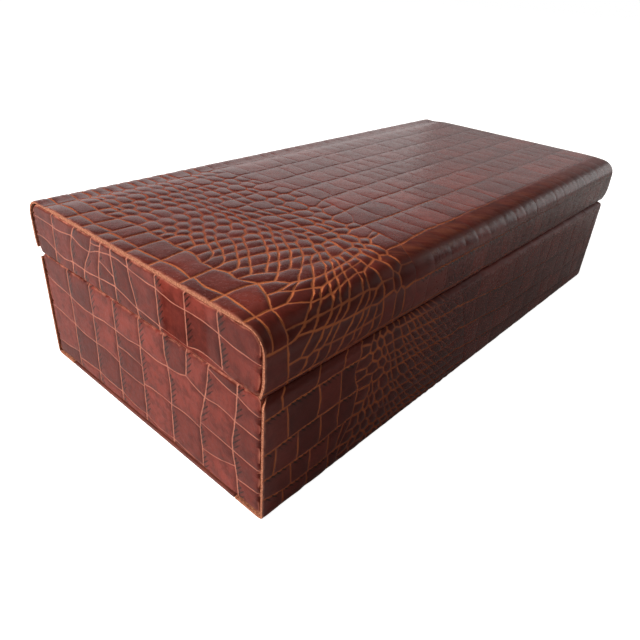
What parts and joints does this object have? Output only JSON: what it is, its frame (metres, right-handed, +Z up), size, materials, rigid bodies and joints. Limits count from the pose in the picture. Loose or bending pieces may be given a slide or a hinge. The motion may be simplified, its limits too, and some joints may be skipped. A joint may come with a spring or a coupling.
{
  "type": "leather keepsake box",
  "caption": "Low rectangular keepsake box covered in crocodile-embossed leather, with inset end panels, a lined inside and a rounded lid on a long brass hinge.",
  "frame": {"origin": "middle of the underside, on the surface that the box stands on", "axes": "+X along the length towards the right end, -Y towards the front, +Y towards the hinge, +Z up"},
  "size_m": [0.3054, 0.1494, 0.0805],
  "materials": {
    "croc_leather": "glossy, embossed, worn",
    "box_wood": "plain sanded",
    "card": "grey-brown card",
    "lining_suede": "soft suede cloth",
    "pad_suede": "soft suede cloth, padded",
    "plain_leather": "smooth, matt",
    "hinge_brass": "dull, rolled",
    "screw_brass": "slotted heads",
    "pin_steel": "drawn wire"
  },
  "bodies": {
    "base": {"base_front_board": "box_wood", "base_back_board": "box_wood", "base_left_board": "box_wood", "base_right_board": "box_wood", "base_floor_board": "box_wood", "base_front_leather": "croc_leather", "base_back_leather": "croc_leather", "base_left_card": "card", "base_right_card": "card", "base_left_leather": "croc_leather", "base_right_leather": "croc_leather", "base_front_lining": "lining_suede", "base_back_lining": "lining_suede", "base_left_lining": "lining_suede", "base_right_lining": "lining_suede", "base_floor_pad": "pad_suede", "underside_leather": "plain_leather", "hinge_base_leaf": "hinge_brass", "hinge_pin": "pin_steel", "hinge_base_screws": "screw_brass"},
    "lid": {"lid_front_rail": "box_wood", "lid_back_rail": "box_wood", "lid_left_board": "box_wood", "lid_right_board": "box_wood", "lid_top_board": "box_wood", "lid_wrap_leather": "croc_leather", "lid_left_card": "card", "lid_right_card": "card", "lid_left_leather": "croc_leather", "lid_right_leather": "croc_leather", "lid_front_lining": "lining_suede", "lid_back_lining": "lining_suede", "lid_left_lining": "lining_suede", "lid_right_lining": "lining_suede", "lid_top_pad": "pad_suede", "hinge_lid_leaf": "hinge_brass", "hinge_lid_screws": "screw_brass"}
  },
  "joints": [
    {"name": "lid_hinge", "type": "hinge", "parent": "base", "child": "lid", "pos_m": [0, 0.0726, 0.055], "axis": [-1, 0, 0], "range_deg": [0, 105]}
  ]
}
